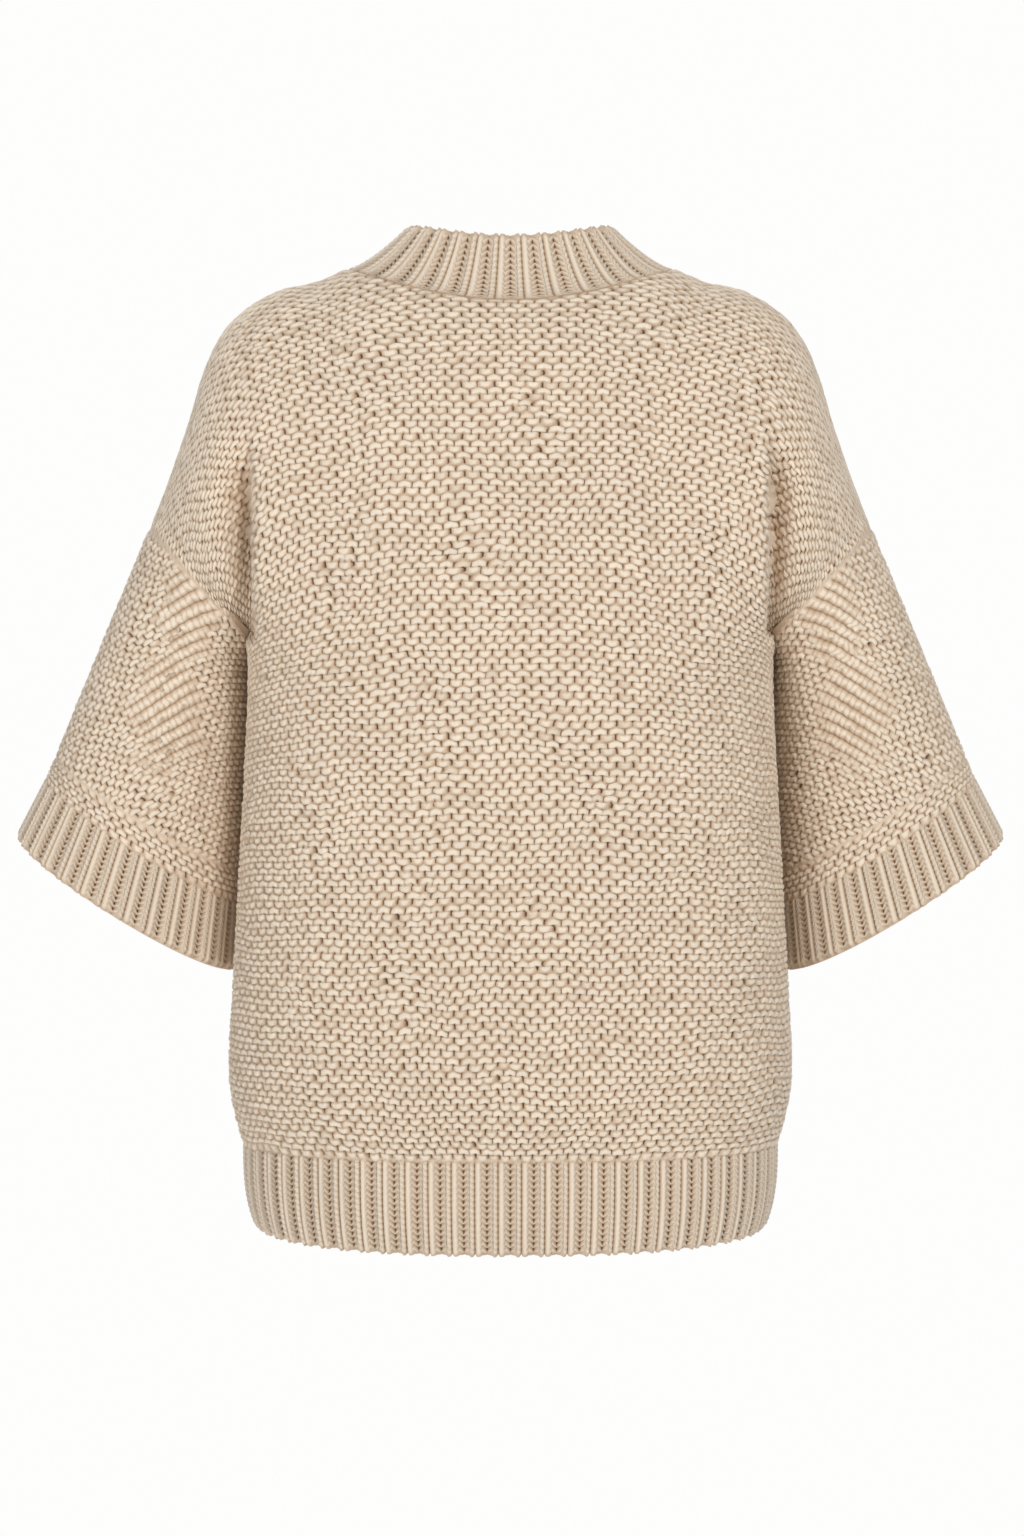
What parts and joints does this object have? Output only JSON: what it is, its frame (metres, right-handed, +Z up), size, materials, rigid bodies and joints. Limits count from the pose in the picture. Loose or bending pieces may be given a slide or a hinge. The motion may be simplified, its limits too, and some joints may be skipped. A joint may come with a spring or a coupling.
{
  "type": "cardigan",
  "caption": "Chunky knitted drop-shoulder cardigan with wide three-quarter sleeves, ribbed stand collar, cuffs and hem, filled out as if worn.",
  "frame": {"origin": "middle of the neck opening at the height of the shoulder points, where the wearer's shoulders hold the garment up", "axes": "+Z up, +Y out of the garment's front, +X to the wearer's right; the picture looks along +Y at the back"},
  "size_m": [0.6534, 0.2503, 0.6626],
  "materials": {
    "knit": "chunky purl-side knit in warm cream wool blend",
    "rib": "one-by-one rib knit in warm cream wool blend"
  },
  "bodies": {
    "root": {"back": "knit", "front_left": "knit", "front_right": "knit", "sleeve_left": "knit", "sleeve_right": "knit", "collar": "rib", "cuff_left": "rib", "cuff_right": "rib", "hem_band": "rib"}
  },
  "joints": []
}
